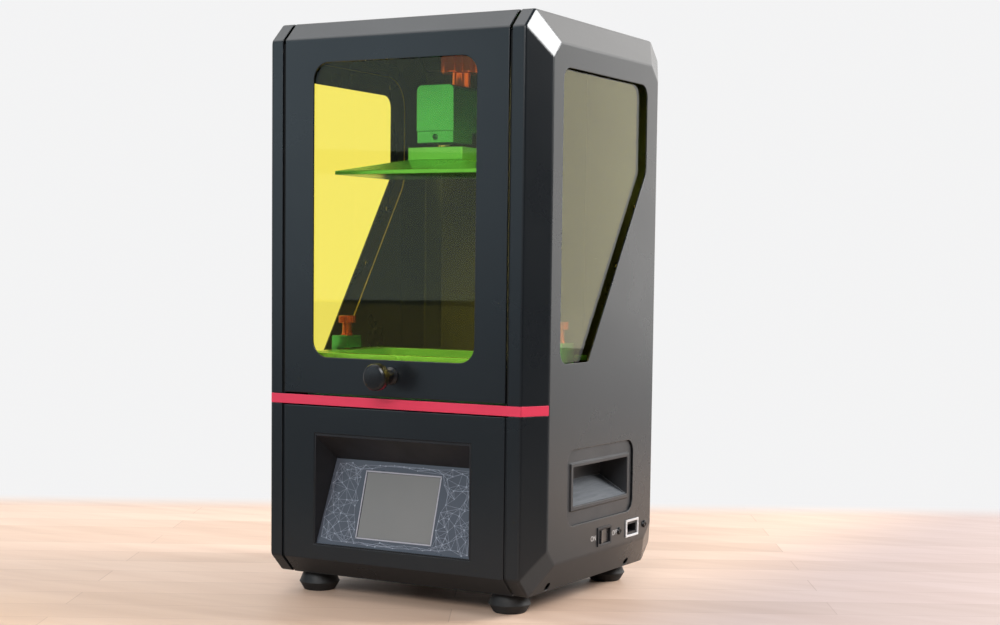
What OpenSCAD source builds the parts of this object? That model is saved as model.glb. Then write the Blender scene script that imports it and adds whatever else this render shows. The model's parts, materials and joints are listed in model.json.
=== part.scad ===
// Desktop resin printer. Millimetres, +Z up, the front faces -Y and the feet stand on z = 0.
// Depths are measured back from the front face: y = front_y + depth. The origin lies under the
// middle of the whole outline, door knob included.

/* [Body] */
// Width over the side covers
body_w = 220; // [214:1:230]
// Depth from the front face to the back face
body_d = 200; // [196:1:215]
// Height of the body without its feet
body_h = 382; // [380:1:400]
// Thickness of the sheet metal
sheet = 1.2; // [1:0.1:1.5]
// Size of the 45 degree corner folds, seen from the side
corner_cut = 12.5; // [12:0.5:16]
// How far each side cover bulges sideways past its flange
side_bulge = 10; // [8:1:11]
// How far the bulge's bevel runs in from the edges
bevel_run = 20; // [18:1:21]
// Gap between the front panels and the side covers
side_gap = 2.2; // [1.6:0.2:2.6]

/* [Feet] */
// Height of the rubber feet
foot_h = 14; // [12:1:20]
// Widest radius of a foot
foot_r = 14.3; // [12:0.1:15]
// Distance of the feet from the side covers' faces
foot_side = 32; // [30:0.5:36]
// Distance of the feet from the front and back faces
foot_inset = 28; // [27:1:32]

/* [Door] */
// Height of the door's lower edge above the body's underside
door_low = 128; // [127.5:0.5:130]
// Half width of the door's window
door_win_w = 64.5; // [58:0.5:66]
// Height of the window's lower edge above the door's lower edge
door_win_low = 25; // [24:1:30]
// Distance from the window's upper edge to the body's top
door_win_top = 29; // [27:1:45]
// Corner radius of the door's window
door_win_r = 12; // [8:1:14]
// Radius of the knob's cap
knob_r = 9; // [8:0.5:10]
// Reach of the knob in front of the door
knob_reach = 22; // [18:1:24]
// Height of the knob above the door's lower edge
knob_up = 14.5; // [13:0.5:15]
// Radius of the hinge barrel
hinge_r = 1.6; // [1.5:0.1:1.8]
// Number of hinge knuckles
knuckles = 9; // [5:2:11]
// Distance of the hinge behind the top fold
hinge_back = 14; // [12:0.5:20]

/* [Front] */
// Height of the coloured band's lower edge above the body's underside
band_low = 120; // [119:0.5:120.5]
// Height of the coloured band
band_h = 6.6; // [5:0.2:7]
// Half width of the screen recess
recess_w = 63; // [58:0.5:66]
// Height of the recess's lower edge above the body's underside
recess_low = 22.8; // [20:0.2:26]
// Height of the recess
recess_h = 77.7; // [74:0.5:80]
// Depth of the screen's upper edge behind the front face
screen_back = 18.5; // [16:0.5:21]
// Drop from the recess's upper edge to the screen plate
screen_drop = 18.5; // [16:0.5:22]

/* [Sides] */
// Front edge of the side window, behind the front face
win_front = 34.5; // [30:0.5:40]
// Distance from the side window's rear edge to the back face
win_rear = 37.5; // [32:0.5:50]
// Depth of the slanted edge's foot behind the front face
win_foot = 75; // [65:1:90]
// Height of the window's lower edge above the body's underside
win_low = 153; // [148:1:160]
// Distance from the window's upper edge to the body's top
win_top = 35; // [30:1:48]
// Length of the window's upright rear edge
win_upright = 62; // [50:1:75]
// Front edge of the hand grip, behind the front face
grip_front = 47.5; // [44:0.5:50]
// Length of the hand grip's bezel
grip_l = 101.5; // [96:0.5:104]
// Height of the grip's lower edge above the body's underside
grip_low = 43; // [42:0.5:46]
// Height of the grip's bezel
grip_h = 51.5; // [48:0.5:54]

/* [Inside] */
// Height of the deck above the body's underside
deck_up = 122; // [121.5:0.5:122.5]
// Distance of the screw axis in front of the back face
axis_back = 47; // [44:0.5:49]
// Gap between the vat and the column
vat_back = 13; // [12:0.5:18]
// Distance of the vat's rim from the side covers' faces
vat_side = 22; // [21:0.5:26]
// Drop from the body's top to the build plate's underside at rest
plate_drop = 102.8; // [101:0.2:115]
// Radius of the lead screw and the guide rods
rod_r = 4; // [3.5:0.25:4.5]
// Distance of the guide rods from the screw
rod_x = 20; // [18:0.5:22]
// Height of the vat
vat_h = 33.4; // [30:0.2:35]
// Radius of the platform knob
star_r = 15; // [13:0.5:16]

/* [Hidden] */
$fn = 48;

eps = 0.01;
run = 0.05;                                   // radial running clearance of shafts
seat = 0.2;                                   // clearance of pieces that are fitted by hand
front_y = -body_d / 2 + knob_reach / 2;
rear_y = front_y + body_d;
mid_y = front_y + body_d / 2;
base_z = foot_h;
top_z = base_z + body_h;
face_x = body_w / 2;
flange_x = face_x - side_bulge;
door_x = flange_x - 9.5 - side_gap;
cover_in_x = door_x + side_gap;
face_cut = corner_cut - 2;                    // corner cut of the bulged face
door_z = base_z + door_low;
band_z = base_z + band_low;
deck_z = base_z + deck_up;
deck_t = 2;
axis_y = rear_y - axis_back;
foot_x = face_x - foot_side;
column_in = 22;                               // the column's front face, ahead of the screw
column_front = axis_y - column_in;
vat_front = front_y + 14;
vat_rear = column_front - vat_back;
vat_mid = (vat_front + vat_rear) / 2;
vat_d = vat_rear - vat_front;
vat_x = face_x - vat_side;
basin_w = 2 * vat_x - 32;
basin_d = vat_d - 20;
plate_y = vat_mid;
plate_w = basin_w - 9;
plate_d = basin_d - 12;
hinge_y = front_y + corner_cut + hinge_back;
pin_r = hinge_r / 2;
barrel_gap = 0.5;
door_win_h = body_h - door_low - door_win_low - door_win_top;
win_end = body_d - win_rear;                  // depth of the window's rear edge
win_h = body_h - win_low - win_top;
win_bend = win_h - win_upright;
motor_w = 42.3;
fan_w = 60;

// Sheet outlines, seen from the side: u is Y and v is Z.
module octagon(d, h, k) {
    polygon([[-d / 2 + k, -h / 2], [d / 2 - k, -h / 2], [d / 2, -h / 2 + k], [d / 2, h / 2 - k],
        [d / 2 - k, h / 2], [-d / 2 + k, h / 2], [-d / 2, h / 2 - k], [-d / 2, -h / 2 + k]]);
}
module body_outline(inset) {
    translate([mid_y, base_z + body_h / 2])
        octagon(body_d - 2 * inset, body_h - 2 * inset, corner_cut - 0.586 * inset);
}
module skin(outer, inner) {
    difference() { body_outline(outer); body_outline(inner); }
}
module along_x(x0, x1) { translate([x0, 0, 0]) rotate([90, 0, 90]) linear_extrude(x1 - x0) children(); }
module along_y(y0, y1) { translate([0, y1, 0]) rotate([90, 0, 0]) linear_extrude(y1 - y0) children(); }
module box(x0, x1, y0, y1, z0, z1) { translate([x0, y0, z0]) cube([x1 - x0, y1 - y0, z1 - z0]); }
module rounded(w, h, r) {
    square([w - 2 * r, h], center = true);
    square([w, h - 2 * r], center = true);
    for (x = [-1, 1], y = [-1, 1]) translate([x * (w / 2 - r), y * (h / 2 - r)]) circle(r);
}
module post(x, y, z0, z1, r) { translate([x, y, z0]) cylinder(h = z1 - z0, r = r); }
module both_sides() { children(); mirror([1, 0, 0]) children(); }

// A folded panel: the skin between the side covers, and a lip that reaches under their flanges.
lip_in = sheet + seat;
lip_x = flange_x - 3;
lip_w = 6;
module folded_panel() {
    along_x(-door_x, door_x) intersection() { skin(0, sheet); children(); }
    both_sides() {
        along_x(door_x - lip_w, lip_x) intersection() { skin(lip_in, lip_in + sheet); children(); }
        along_x(door_x - lip_w, door_x) intersection() { skin(sheet - eps, lip_in + eps); children(); }
    }
}

// ---- side covers ----
module cover_solid(inset) {
    hull() {
        along_x(cover_in_x - 5 * inset, flange_x - 0.618 * inset) body_outline(inset);
        along_x(face_x - inset - eps, face_x - inset) translate([mid_y, base_z + body_h / 2])
            octagon(body_d - 2 * bevel_run - 0.47 * inset, body_h - 2 * bevel_run - 0.47 * inset, face_cut);
    }
}
win_z = base_z + win_low;
win_r = 9;
module window_corners() {
    polygon([[win_front, 0], [win_foot, 0], [win_end, win_bend], [win_end, win_h], [win_front, win_h]]);
}
module window_outline(grow) {
    translate([front_y, win_z]) offset(r = grow + win_r) offset(delta = -win_r) window_corners();
    // the corner at the slanted edge's foot is almost sharp
    translate([front_y, win_z]) intersection() {
        offset(delta = grow) translate([win_foot - 2 * win_r, 0]) square([2 * win_r + 6, win_r]);
        offset(r = grow + 1.5) offset(delta = -1.5) window_corners();
    }
}
grip_y = front_y + grip_front + grip_l / 2;
grip_z = base_z + grip_low + grip_h / 2;
grip_corner = 9;
band_clear = 0.2;
vent_r = 3;
vent_d = [36, body_d - 44];
module cover() {
    difference() {
        cover_solid(0);
        cover_solid(sheet);
        along_x(flange_x, face_x + 1) window_outline(0);
        along_x(flange_x, face_x + 1) translate([grip_y, grip_z]) rounded(grip_l, grip_h, grip_corner);
        box(cover_in_x - 1, face_x + 1, front_y - 1, front_y + bevel_run,
            band_z - band_clear, band_z + band_h + band_clear);
        for (d = vent_d) translate([flange_x + 2, front_y + d, base_z + 4]) rotate([0, 116.6, 0])
            cylinder(h = 12, r = vent_r, center = true);
    }
}
module left_cover() { color([0.09, 0.09, 0.1]) mirror([1, 0, 0]) cover(); }

// ---- controls on the right side ----
switch_back = 96;                             // distances of the switch and the port from the back face
usb_back = 51.4;
switch_y = rear_y - switch_back;
switch_z = base_z + 30.2;
switch_w = 21;
switch_h = 13.3;
usb_y = rear_y - usb_back;
usb_z = base_z + 30.6;
usb_w = 20.3;
usb_h = 12.6;
port_gap = 20.9;                              // from the port's middle to its screws
port_screw_r = 1.6;
module right_cover() {
    color([0.09, 0.09, 0.1]) difference() {
        cover();
        box(flange_x, face_x + 1, switch_y - switch_w / 2 + 1, switch_y + switch_w / 2 - 1,
            switch_z - switch_h / 2 + 1, switch_z + switch_h / 2 - 1);
        box(flange_x, face_x + 1, usb_y - usb_w / 2 + 1, usb_y + usb_w / 2 - 1,
            usb_z - usb_h / 2 + 1, usb_z + usb_h / 2 - 1);
        for (s = [-1, 1]) translate([face_x - 3, usb_y + s * port_gap, usb_z]) rotate([0, 90, 0])
            cylinder(h = 5, r = port_screw_r + 0.1);
    }
}
rim = 0.8;                                    // how far port and switch rims stand proud
module switch_housing() {
    color([0.03, 0.03, 0.03]) difference() {
        union() {
            box(face_x, face_x + rim, switch_y - switch_w / 2, switch_y + switch_w / 2,
                switch_z - switch_h / 2, switch_z + switch_h / 2);
            box(face_x - 14, face_x + eps, switch_y - switch_w / 2 + 1.2, switch_y + switch_w / 2 - 1.2,
                switch_z - switch_h / 2 + 1.2, switch_z + switch_h / 2 - 1.2);
            // terminals
            for (y = [-6, 0, 6]) box(face_x - 20, face_x - 14 + eps, switch_y + y - 2.4, switch_y + y + 2.4,
                switch_z - 0.4, switch_z + 0.4);
        }
        box(face_x - 9, face_x + 2, switch_y - rocker_l / 2 - 0.8, switch_y + rocker_l / 2 + 0.8,
            switch_z - rocker_h / 2 - 0.3, switch_z + rocker_h / 2 + 0.3);
        translate([rocker_x, switch_y, switch_z - 7]) cylinder(h = 14, r = 1 + run);
    }
}
rocker_l = 15.4;
rocker_h = 9.2;
rocker_x = face_x - 2;                        // pivot of the rocker
rocker_tilt = 9;
module switch_rocker() {
    color([0.02, 0.02, 0.02]) translate([rocker_x, switch_y, 0]) rotate([0, 0, rocker_tilt]) {
        translate([0, 0, switch_z - rocker_h / 2]) linear_extrude(rocker_h) polygon([
            [-3, -2.5], [0, -rocker_l / 2], [2.6, -rocker_l / 2], [2.1, -2], [2.1, 2],
            [2.6, rocker_l / 2], [0, rocker_l / 2], [-3, 2.5]]);
        translate([0, 0, switch_z - 5.35]) cylinder(h = 10.7, r = 1);
    }
}
module usb_frame() {
    color([0.8, 0.8, 0.82]) along_x(face_x, face_x + rim) translate([usb_y, usb_z]) difference() {
        square([usb_w, usb_h], center = true);
        square([usb_w - 3.2, usb_h - 3.2], center = true);
    }
}
usb_mouth = [13.2, 5.8];
module usb_socket() {
    color([0.05, 0.05, 0.05]) {
        difference() {
            along_x(face_x - 15, face_x) translate([usb_y, usb_z])
                square([usb_w - 3, usb_h - 3], center = true);
            along_x(face_x - 12, face_x + 1) translate([usb_y, usb_z]) square(usb_mouth, center = true);
        }
        along_x(face_x - 12 - eps, face_x - 5) translate([usb_y, usb_z + 1.7])
            square([10.5, 1.6], center = true);
    }
}
module port_screws() {
    color([0.75, 0.75, 0.76]) for (s = [-1, 1]) translate([0, usb_y + s * port_gap, usb_z]) rotate([0, 90, 0]) {
        translate([0, 0, face_x]) difference() {
            cylinder(h = 1.4, r1 = 2.8, r2 = 2.2);
            for (a = [0, 90]) rotate([0, 0, a]) translate([-1.4, -0.3, 0.7]) cube([2.8, 0.6, 1]);
        }
        translate([0, 0, face_x - 8]) cylinder(h = 8 + eps, r = port_screw_r);
    }
}

// ---- grips ----
grip_set = 1.4;                               // how far the bezel lies behind the cover's face
grip_wall = 1.4;
grip_lap = 3;                                // the bezel reaches this far behind the cover
pocket_deep = 21;
mouth_front = 9.3;
mouth_rear = 8.8;
mouth_low = 13;
mouth_high = 12;
module grip() {
    mouth_l = grip_l - mouth_front - mouth_rear;
    my = front_y + grip_front + mouth_front;
    mz = grip_z - grip_h / 2 + mouth_low;
    mt = grip_z + grip_h / 2 - mouth_high;
    px = face_x - grip_set;
    inner = [[px + 3, mz], [px + 3, mt], [px - 3, mt], [px - 5, mt + 3], [px - pocket_deep, mt + 3],
        [px - pocket_deep, mz + 13], [px, mz]];
    outer = [[px - grip_wall, mz - grip_wall], [px - grip_wall, mt + grip_wall + 2.6],
        [px - 5, mt + 3 + grip_wall], [px - pocket_deep - grip_wall, mt + 3 + grip_wall],
        [px - pocket_deep - grip_wall, mz + 12], [px - 2 * grip_wall, mz - grip_wall]];
    difference() {
        union() {
            along_x(px - grip_wall, px) translate([grip_y, grip_z])
                rounded(grip_l + 2 * grip_lap, grip_h + 2 * grip_lap, grip_corner + grip_lap);
            along_x(px - grip_wall / 2, face_x - 0.3) difference() {
                translate([my - 3.2, mz - 3.2]) square([mouth_l + 6.4, mt - mz + 6]);
                translate([my, mz]) square([mouth_l, mt - mz]);
            }
            along_y(my - grip_wall, my + mouth_l + grip_wall) polygon(outer);
            for (s = [-1, 1], v = [-1, 1]) translate([px - grip_wall - 3, grip_y + s * (grip_l / 2 - 5),
                grip_z + v * (grip_h / 2 - 5)]) rotate([0, 90, 0]) cylinder(h = 3 + grip_wall / 2, r = 2.6);
        }
        along_y(my, my + mouth_l) polygon(inner);
    }
}
module right_grip() { color([0.06, 0.06, 0.06]) grip(); }
module left_grip() { color([0.06, 0.06, 0.06]) mirror([1, 0, 0]) grip(); }

// ---- side windows: panes screwed inside the covers, each screw with a collar ----
pane_t = 2;
pane_grow = 14;                               // how far a pane reaches past the window's edge
pane_edge = 2;                                // and how far it stays from the cover's bevels
pane_gap = 2.2;                               // collars hold the pane off the cover
pane_x = face_x - sheet - pane_gap;           // outer face of the pane
stud_out = 6.5;                               // distance of the screws from the window's edge
slant = [win_end - win_foot, win_bend] / norm([win_end - win_foot, win_bend]);
function on_slant(share) = [win_foot + share * (win_end - win_foot) + stud_out * slant[1],
    share * win_bend - stud_out * slant[0]];
stud_at = [[win_front - 6, win_h * 0.2], [win_front - 6, win_h * 0.8], [win_front + stud_out, -stud_out],
    [win_front + stud_out, win_h + stud_out], [win_end - 5, win_h + stud_out], on_slant(0.52), on_slant(0.84)];
module on_pane(p, x) { translate([x, front_y + p[0], win_z + p[1]]) rotate([0, 90, 0]) children(); }
module pane() {
    clear = bevel_run + pane_edge;
    difference() {
        along_x(pane_x - pane_t, pane_x) intersection() {
            window_outline(pane_grow);
            translate([front_y + clear, deck_z + 1])
                square([body_d - bevel_run - clear, top_z - deck_z - clear]);
        }
        for (p = stud_at) on_pane(p, pane_x - pane_t - 1) cylinder(h = 6, r = 1.7);
    }
}
module right_window() { color([0.95, 0.75, 0.1, 0.5]) pane(); }
module left_window() { color([0.95, 0.75, 0.1, 0.5]) mirror([1, 0, 0]) pane(); }
module pane_screws() {
    head_x = pane_x - pane_t;
    color([0.7, 0.7, 0.7]) both_sides() for (p = stud_at) {
        on_pane(p, head_x - 1.6) cylinder(h = 1.6, r1 = 2.2, r2 = 2.8);
        on_pane(p, head_x - 0.5) cylinder(h = pane_t + pane_gap, r = 1.5);
        on_pane(p, pane_x + 0.05) cylinder(h = pane_gap - 0.1, r = 3);
    }
}

// ---- folded panels ----
axis_clear = hinge_r + barrel_gap;
hinge_len = 2 * (door_x - lip_w - 1.3);       // the leaves end beside the panels' lips
module top_panel() {
    color([0.09, 0.09, 0.1]) difference() {
        folded_panel() translate([hinge_y + axis_clear, top_z - corner_cut - 1])
            square([body_d, corner_cut + 2]);
        // the rear fold ends where the back panel begins
        box(-face_x, face_x, rear_y - 4, rear_y + 1, top_z - corner_cut - 3, top_z - corner_cut);
    }
}
fan_x = -(door_x - lip_w - fan_w / 2 - 0.3);  // beside the back panel's folded lip
fan_z = base_z + 62;
jack_x = 60;
jack_z = base_z + 34;
module back_panel() {
    color([0.09, 0.09, 0.1]) difference() {
        folded_panel() translate([rear_y - 6, base_z + corner_cut]) square([8, body_h - 2 * corner_cut - seat]);
        translate([fan_x, rear_y + 1, fan_z]) rotate([90, 0, 0]) linear_extrude(6) fan_vents(26);
        translate([jack_x, rear_y + 1, jack_z]) rotate([90, 0, 0]) cylinder(h = 6, r = 5.2);
    }
}
// Rings of slots, parted by four bridges.
module fan_vents(r) {
    for (q = [r - 3 : -5.2 : 5]) difference() {
        circle(q + 1.3);
        circle(q - 1.3);
        for (a = [45, 135]) rotate(a) square([2 * r + 4, 3], center = true);
    }
}
lamp_y = plate_y;
module base_plate() {
    color([0.09, 0.09, 0.1]) difference() {
        folded_panel() translate([front_y + corner_cut, base_z - 1]) square([body_d, corner_cut + 1 - seat]);
        translate([0, lamp_y, base_z - 1]) linear_extrude(6) fan_vents(26);
        for (x = [-1, 1], y = [0, 1]) translate([x * foot_x, foot_y(y), base_z - 1]) cylinder(h = 6, r = 2.1);
    }
}
function foot_y(i) = i == 0 ? front_y + foot_inset : rear_y - foot_inset;
module lower_front_panel() {
    color([0.09, 0.09, 0.1]) difference() {
        folded_panel() translate([front_y - 1, base_z - 1]) square([corner_cut + 1 - seat, band_low]);
        box(-recess_w, recess_w, front_y - 1, front_y + 5, recess_z, recess_z + recess_h);
    }
}
module accent_band() {
    inner = 0.618 * sheet;
    outer_pts = [[-face_x, bevel_run], [-flange_x, 0], [flange_x, 0], [face_x, bevel_run]];
    inner_pts = [[face_x - 1.118 * sheet, bevel_run], [flange_x - inner, sheet], [-flange_x + inner, sheet],
        [-face_x + 1.118 * sheet, bevel_run]];
    color([0.85, 0.12, 0.22]) translate([0, front_y, band_z]) linear_extrude(band_h)
        polygon(concat(outer_pts, inner_pts));
}
// Folded strips that line the covers behind the seams of the door.
jamb_d = bevel_run + 1;
module door_jambs() {
    bx = flange_x - 0.618 * lip_in;
    cx = face_x - lip_in;
    cy = bevel_run + 0.236 * lip_in;
    color([0.08, 0.08, 0.08]) both_sides() intersection() {
        translate([0, front_y, deck_z]) linear_extrude(body_h) polygon([[door_x + 0.4, lip_in],
            [bx, lip_in], [cx, cy], [cx, jamb_d], [cx - sheet, jamb_d], [cx - sheet, cy + 0.236 * sheet],
            [bx - 0.618 * sheet, lip_in + sheet], [door_x + 0.4, lip_in + sheet]]);
        // the upper end follows the covers' corner facets
        along_x(0, face_x) polygon([[front_y, deck_z], [front_y + jamb_d, deck_z],
            [front_y + jamb_d, top_z - bevel_run - face_cut - lip_in], [front_y, top_z - corner_cut - lip_in]]);
    }
}

// ---- screen ----
recess_z = base_z + recess_low;
tub_wall = 1.6;
screen_top_x = recess_w - 6;
screen_low_x = recess_w - 0.6;
screen_low_y = front_y + 1.4;
screen_top_y = front_y + screen_back;
screen_low_z = recess_z + 0.6;
screen_top_z = recess_z + recess_h - screen_drop;
screen_len = norm([screen_top_y - screen_low_y, screen_top_z - screen_low_z]);
screen_lean = atan2(screen_top_y - screen_low_y, screen_top_z - screen_low_z);
module on_screen() { translate([0, screen_low_y, screen_low_z]) rotate([90 - screen_lean, 0, 0]) children(); }
// The tub's hollow: a wedge that narrows towards the screen plate.
module screen_shape(grow) {
    polygon([[-screen_low_x - grow, -grow], [screen_low_x + grow, -grow],
        [screen_top_x + grow, screen_len + grow], [-screen_top_x - grow, screen_len + grow]]);
}
function on_bed(x, u) = [x, screen_low_y + u * sin(screen_lean), screen_low_z + u * cos(screen_lean)];
// A wedge from the recess's mouth to the screen's bed. Its eight corners give all its faces.
module tub(mouth, bed, ahead) {
    mx = recess_w + mouth;
    my = front_y - ahead;
    lo = recess_z - mouth;
    hi = recess_z + recess_h + mouth;
    polyhedron(
        points = [[-mx, my, lo], [mx, my, lo], [mx, my, hi], [-mx, my, hi],
            on_bed(-screen_low_x - bed, -bed), on_bed(screen_low_x + bed, -bed),
            on_bed(screen_top_x + bed, screen_len + bed), on_bed(-screen_top_x - bed, screen_len + bed)],
        faces = [[0, 2, 1], [0, 3, 2], [4, 5, 6], [4, 6, 7], [0, 1, 5], [0, 5, 4],
            [1, 2, 6], [1, 6, 5], [2, 3, 7], [2, 7, 6], [3, 0, 4], [3, 4, 7]]);
}
module screen_housing() {
    lap = 0.3;
    back = front_y + sheet + seat;
    color([0.07, 0.07, 0.08]) difference() {
        union() {
            intersection() {
                union() {
                    tub(tub_wall, tub_wall, 0);
                    on_screen() translate([0, 0, -4.2]) linear_extrude(4) screen_shape(tub_wall - lap);
                }
                box(-face_x, face_x, back, rear_y, base_z, top_z);
            }
            box(-recess_w + seat, recess_w - seat, front_y + 0.3, back + lap,
                recess_z + seat, recess_z + recess_h - seat);
            box(-recess_w - 5, recess_w + 5, back, back + 1.5, recess_z - 4, recess_z + recess_h + 4);
        }
        tub(-1, 0, 0.5);
        on_screen() translate([0, 0, -1.6]) linear_extrude(1.5) screen_shape(lap);
        on_screen() translate([0, 0, -0.2]) linear_extrude(0.4) screen_shape(-0.1);
        on_screen() translate([0, screen_len / 2 - 0.5, -6]) linear_extrude(12)
            square([display_w + 2.4, display_h + 2.4], center = true);
    }
}
display_w = 60;
display_h = 46.5;
module screen_plate() {
    color([0.2, 0.22, 0.26]) on_screen() translate([0, screen_len / 2, -1.4]) linear_extrude(1.2) difference() {
        translate([0, -screen_len / 2]) screen_shape(-0.3);
        translate([0, -0.5]) square([display_w - 0.6, display_h - 0.6], center = true);
    }
}
module display() {
    color([0.45, 0.45, 0.43]) on_screen() translate([0, screen_len / 2 - 0.5, -5.2]) {
        linear_extrude(3.7) square([display_w + 2, display_h + 2], center = true);
        linear_extrude(4.6) square([display_w - 1, display_h - 1], center = true);
    }
}

// ---- feet ----
module feet() {
    waist = foot_h * 0.42;
    color([0.03, 0.03, 0.03]) for (x = [-1, 1], i = [0, 1]) translate([x * foot_x, foot_y(i), 0]) {
        rotate_extrude() polygon([[0, 0.8], [3.6, 0.8], [3.6, 0], [foot_r * 0.72, 0], [foot_r * 0.78, 0.6],
            [foot_r - 0.6, waist - 0.8], [foot_r, waist], [foot_r - 0.5, waist + 0.9],
            [foot_r * 0.85, foot_h - 3], [foot_r * 0.71, foot_h], [0, foot_h]]);
        translate([0, 0, foot_h - eps]) cylinder(h = sheet + 2.6, r = 2);
        translate([0, 0, foot_h + sheet + 2 * eps]) cylinder(h = 2.2, r = 3.8, $fn = 6);
    }
}

// ---- deck and mask screen ----
mask_w = basin_w - 20;
mask_d = basin_d - 10;
mask_up = 3;                                  // the mask screen stands proud of the deck
deck_low = deck_z - deck_t;
module deck_plate() {
    color([0.12, 0.12, 0.13]) difference() {
        union() {
            both_sides() translate([0, front_y, deck_low]) linear_extrude(deck_t) polygon([[-1, lip_in],
                [flange_x - 0.618 * lip_in, lip_in], [face_x - lip_in, bevel_run + 0.235 * lip_in],
                [face_x - lip_in, body_d - bevel_run - 0.235 * lip_in],
                [flange_x - 0.118 * lip_in, body_d - 2 * lip_in], [-1, body_d - 2 * lip_in]]);
            box(-door_x, door_x, front_y + lip_in, front_y + lip_in + sheet, deck_low, band_z + band_h);
        }
        box(-mask_w / 2 - seat, mask_w / 2 + seat, plate_y - mask_d / 2 - seat, plate_y + mask_d / 2 + seat,
            deck_low - 1, deck_z + 1);
        post(0, axis_y, deck_low - 1, deck_z + 1, 11.3);
        for (x = [-1, 1], y = [-1, 1]) post(x * 15.5, axis_y + y * 15.5, deck_low - 1, deck_z + 1, 1.7);
    }
}
module lcd_panel() {
    color([0.05, 0.06, 0.08]) box(-mask_w / 2, mask_w / 2, plate_y - mask_d / 2, plate_y + mask_d / 2,
        deck_low, deck_z + mask_up);
}

// ---- vat ----
vat_foot = 5;                                 // the vat's foot stays inside its rim
pour_r = 3;
basin_r = 9;
frame_inset = 3;                              // the film frame stays inside the vat's foot
film_z = deck_z + mask_up + 0.1;
film_t = 0.25;
vat_z = film_z + film_t;
vat_top = deck_z + vat_h;
module basin(grow) { translate([0, plate_y]) rounded(basin_w + 2 * grow, basin_d + 2 * grow, basin_r + grow); }
module vat_body() {
    color([0.25, 0.7, 0.6]) difference() {
        union() {
            translate([0, vat_mid, vat_top - 3.4]) linear_extrude(3.4) rounded(2 * vat_x, vat_d, 5);
            translate([0, 0, vat_z]) linear_extrude(vat_top - vat_z - 1) basin(3.5);
            translate([0, vat_mid, vat_z]) linear_extrude(4) rounded(2 * (vat_x - vat_foot), vat_d - 4, 5);
        }
        translate([0, 0, vat_z - 1]) linear_extrude(vat_h + 2) basin(0);
        // pouring lip at the front left corner of the rim
        translate([-basin_w / 2 + 4, plate_y - basin_d / 2 + 4, vat_top]) rotate([0, 90, 225])
            cylinder(h = 40, r = 3);
    }
}
module vat_film() {
    color([0.9, 0.9, 0.9, 0.4]) translate([0, 0, film_z]) linear_extrude(film_t) basin(5);
}
module vat_film_frame() {
    color([0.25, 0.7, 0.6]) difference() {
        translate([0, vat_mid, deck_z + 0.1]) linear_extrude(mask_up)
            rounded(2 * vat_x - 4 * frame_inset, vat_d - 2 * frame_inset, 5);
        translate([0, 0, deck_z - 1]) linear_extrude(mask_up + 3) basin(0.5);
    }
}
clamp_x = vat_x - 1;
clamp_y = vat_mid + 8;
clamp_w = 12.6;
clamp_d = 18;
clamp_low = vat_top + 1.2;
clamp_h = 8.6;
clamp_top = clamp_low + clamp_h;
thread_r = 2.5;
clamp_end = clamp_x + clamp_w / 2 + 1;
module vat_brackets() {
    y0 = clamp_y - clamp_d / 2;
    y1 = clamp_y + clamp_d / 2;
    color([0.25, 0.7, 0.6]) both_sides() difference() {
        union() {
            box(clamp_x - clamp_w / 2, clamp_end, y0, y1, clamp_low, clamp_top);
            box(vat_x + 1.2, clamp_end, y0, y1, deck_z, clamp_low + eps);
            box(vat_x + 1.2, lip_x, y0 - 5, y1 + 5, deck_z, deck_z + 3);
        }
        post(clamp_x, clamp_y, vat_top - 1, clamp_top + 1, thread_r + 2 * run);
    }
}
module vat_screw(s) {
    color([0.85, 0.1, 0.08]) translate([s * clamp_x, clamp_y, 0]) {
        difference() {
            post(0, 0, clamp_top + 9.2, clamp_top + 14.4, 6.2);
            for (a = [0 : 20 : 340]) rotate([0, 0, a]) translate([6.5, 0, clamp_top + 9])
                cylinder(h = 6, r = 0.7, $fn = 8);
        }
        post(0, 0, clamp_top + 2, clamp_top + 9.2 + eps, 3.5);
        translate([0, 0, clamp_top + 0.15]) cylinder(h = 1.9, r1 = 4.6, r2 = 3.5);
        post(0, 0, vat_top + 0.1, clamp_top + 1, thread_r);
    }
}
module vat_screw_left() { vat_screw(-1); }
module vat_screw_right() { vat_screw(1); }

// ---- Z axis ----
column_x = 42;
slot_x = 10.5;
column_top = top_z - corner_cut - 2.5;
module column_cover() {
    color([0.05, 0.05, 0.05]) difference() {
        box(-column_x, column_x, column_front, rear_y - sheet - seat, deck_z, column_top);
        box(-column_x + sheet, column_x - sheet, column_front + sheet, rear_y, deck_z - 1, column_top - sheet);
        box(-slot_x, slot_x, column_front - 1, column_front + 5, deck_z + 18, column_top - 6);
    }
}
bracket_x = 34;
bracket_d = 24;
base_top = deck_z + 10;
cap_low = column_top - 12;
cap_top = cap_low + 8;
module column_base() {
    color([0.55, 0.56, 0.58]) difference() {
        box(-bracket_x, bracket_x, axis_y - bracket_d / 2, axis_y + bracket_d / 2, deck_z, base_top);
        post(0, axis_y, deck_z - 1, base_top + 1, 11);
        for (s = [-1, 1]) post(s * rod_x, axis_y, deck_z - 1, base_top + 1, rod_r + 0.01);
    }
}
module column_cap() {
    color([0.55, 0.56, 0.58]) difference() {
        union() {
            box(-bracket_x, bracket_x, axis_y - bracket_d / 2, axis_y + bracket_d / 2, cap_low, cap_top);
            box(-bracket_x, bracket_x, axis_y + bracket_d / 2 - eps, rear_y - lip_in, cap_low, cap_low + 3);
        }
        for (x = [-rod_x, 0, rod_x]) post(x, axis_y, cap_low - 1, cap_top + 1, rod_r + (x == 0 ? run : 0.01));
    }
}
module guide_rods() {
    color([0.75, 0.76, 0.78]) for (s = [-1, 1]) post(s * rod_x, axis_y, deck_z, cap_top, rod_r);
}
shaft_r = 2.5;
screw_low = deck_z + 14;
coupling_top = deck_z + 24;
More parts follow.
